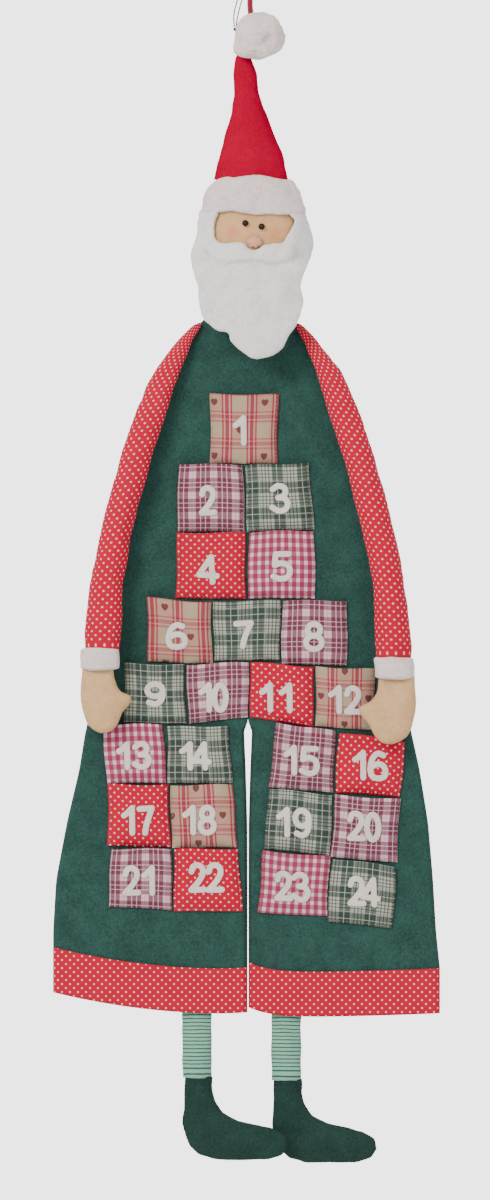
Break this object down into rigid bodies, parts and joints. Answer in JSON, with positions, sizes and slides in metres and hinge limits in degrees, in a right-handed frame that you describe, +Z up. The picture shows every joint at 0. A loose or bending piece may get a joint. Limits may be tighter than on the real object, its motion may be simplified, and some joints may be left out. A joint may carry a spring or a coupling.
{
  "type": "advent calendar",
  "caption": "Hanging cloth Father Christmas doll whose long felt garment carries numbered patch pockets for small daily gifts.",
  "frame": {"origin": "the nail inside the top of the hanging ribbon's eye", "axes": "+Z up, the doll faces -Y, +X to the right as it is looked at, the wall is on the +Y side"},
  "size_m": [0.3871, 0.0592, 1.1965],
  "materials": {
    "red_ribbon": "satin",
    "dark_thread": "matt",
    "red_felt": "matt felt",
    "white_fleece": "matt fleece",
    "tan_calico": "matt calico",
    "black_bead": "glossy",
    "green_felt": "matt felt",
    "wadding": "fluffy",
    "dotted_cotton": "matt cotton, red with white dots",
    "heart_plaid": "matt cotton, beige with red stripes and hearts",
    "berry_plaid": "matt cotton, berry and pale plaid",
    "leaf_plaid": "matt cotton, green and cream plaid",
    "rose_check": "matt cotton, rose check",
    "mint_knit": "matt knit, mint with dark stripes",
    "boot_felt": "matt felt"
  },
  "bodies": {
    "hanger": {"hanging_ribbon": "red_ribbon", "thread_loop": "dark_thread", "thread_knot": "dark_thread"},
    "left_arm": {"left_sleeve": "dotted_cotton", "left_cuff": "white_fleece", "left_hand": "tan_calico"},
    "right_arm": {"right_sleeve": "dotted_cotton", "right_cuff": "white_fleece", "right_hand": "tan_calico"},
    "left_leg": {"left_stocking": "mint_knit", "left_boot": "boot_felt"},
    "right_leg": {"right_stocking": "mint_knit", "right_boot": "boot_felt"},
    "beard_flap": {"beard": "white_fleece"},
    "doll": {"garment_back": "green_felt", "garment_front": "green_felt", "hat_brim": "white_fleece", "hat_cone": "red_felt", "head": "tan_calico", "left_eye": "black_bead", "left_hem_band": "dotted_cotton", "moustache": "white_fleece", "nose": "tan_calico", "pocket_01": "heart_plaid", "pocket_02": "berry_plaid", "pocket_03": "leaf_plaid", "pocket_04": "dotted_cotton", "pocket_05": "rose_check", "pocket_06": "heart_plaid", "pocket_07": "leaf_plaid", "pocket_08": "berry_plaid", "pocket_09": "leaf_plaid", "pocket_10": "berry_plaid", "pocket_11": "dotted_cotton", "pocket_12": "heart_plaid", "pocket_13": "rose_check", "pocket_14": "leaf_plaid", "pocket_15": "berry_plaid", "pocket_16": "dotted_cotton", "pocket_17": "dotted_cotton", "pocket_18": "heart_plaid", "pocket_19": "leaf_plaid", "pocket_20": "berry_plaid", "pocket_21": "berry_plaid", "pocket_22": "dotted_cotton", "pocket_23": "rose_check", "pocket_24": "leaf_plaid", "pompom": "white_fleece", "right_eye": "black_bead", "right_hem_band": "dotted_cotton", "wadding": "wadding"}
  },
  "joints": [
    {"name": "doll_sway", "type": "hinge", "parent": "hanger", "child": "doll", "pos_m": [-0.007, 0, -0.088], "axis": [0, 1, 0], "range_deg": [-15, 15]},
    {"name": "left_arm_swing", "type": "hinge", "parent": "doll", "child": "left_arm", "pos_m": [-0.04997, -0.0046, -0.356], "axis": [0, 1, 0], "range_deg": [0, 70]},
    {"name": "right_arm_swing", "type": "hinge", "parent": "doll", "child": "right_arm", "pos_m": [0.04597, -0.0046, -0.356], "axis": [0, -1, 0], "range_deg": [0, 70]},
    {"name": "left_leg_swing", "type": "hinge", "parent": "doll", "child": "left_leg", "pos_m": [-0.053, 0.0007, -1.03152], "axis": [0, 1, 0], "range_deg": [0, 20], "stiffness_Nm_per_rad": 0.3},
    {"name": "right_leg_swing", "type": "hinge", "parent": "doll", "child": "right_leg", "pos_m": [0.0363, 0.0007, -1.03429], "axis": [0, -1, 0], "range_deg": [0, 20], "stiffness_Nm_per_rad": 0.3},
    {"name": "beard_lift", "type": "hinge", "parent": "doll", "child": "beard_flap", "pos_m": [0.0025, -0.04814, -0.2919], "axis": [-1, 0, 0], "range_deg": [0, 60]}
  ]
}
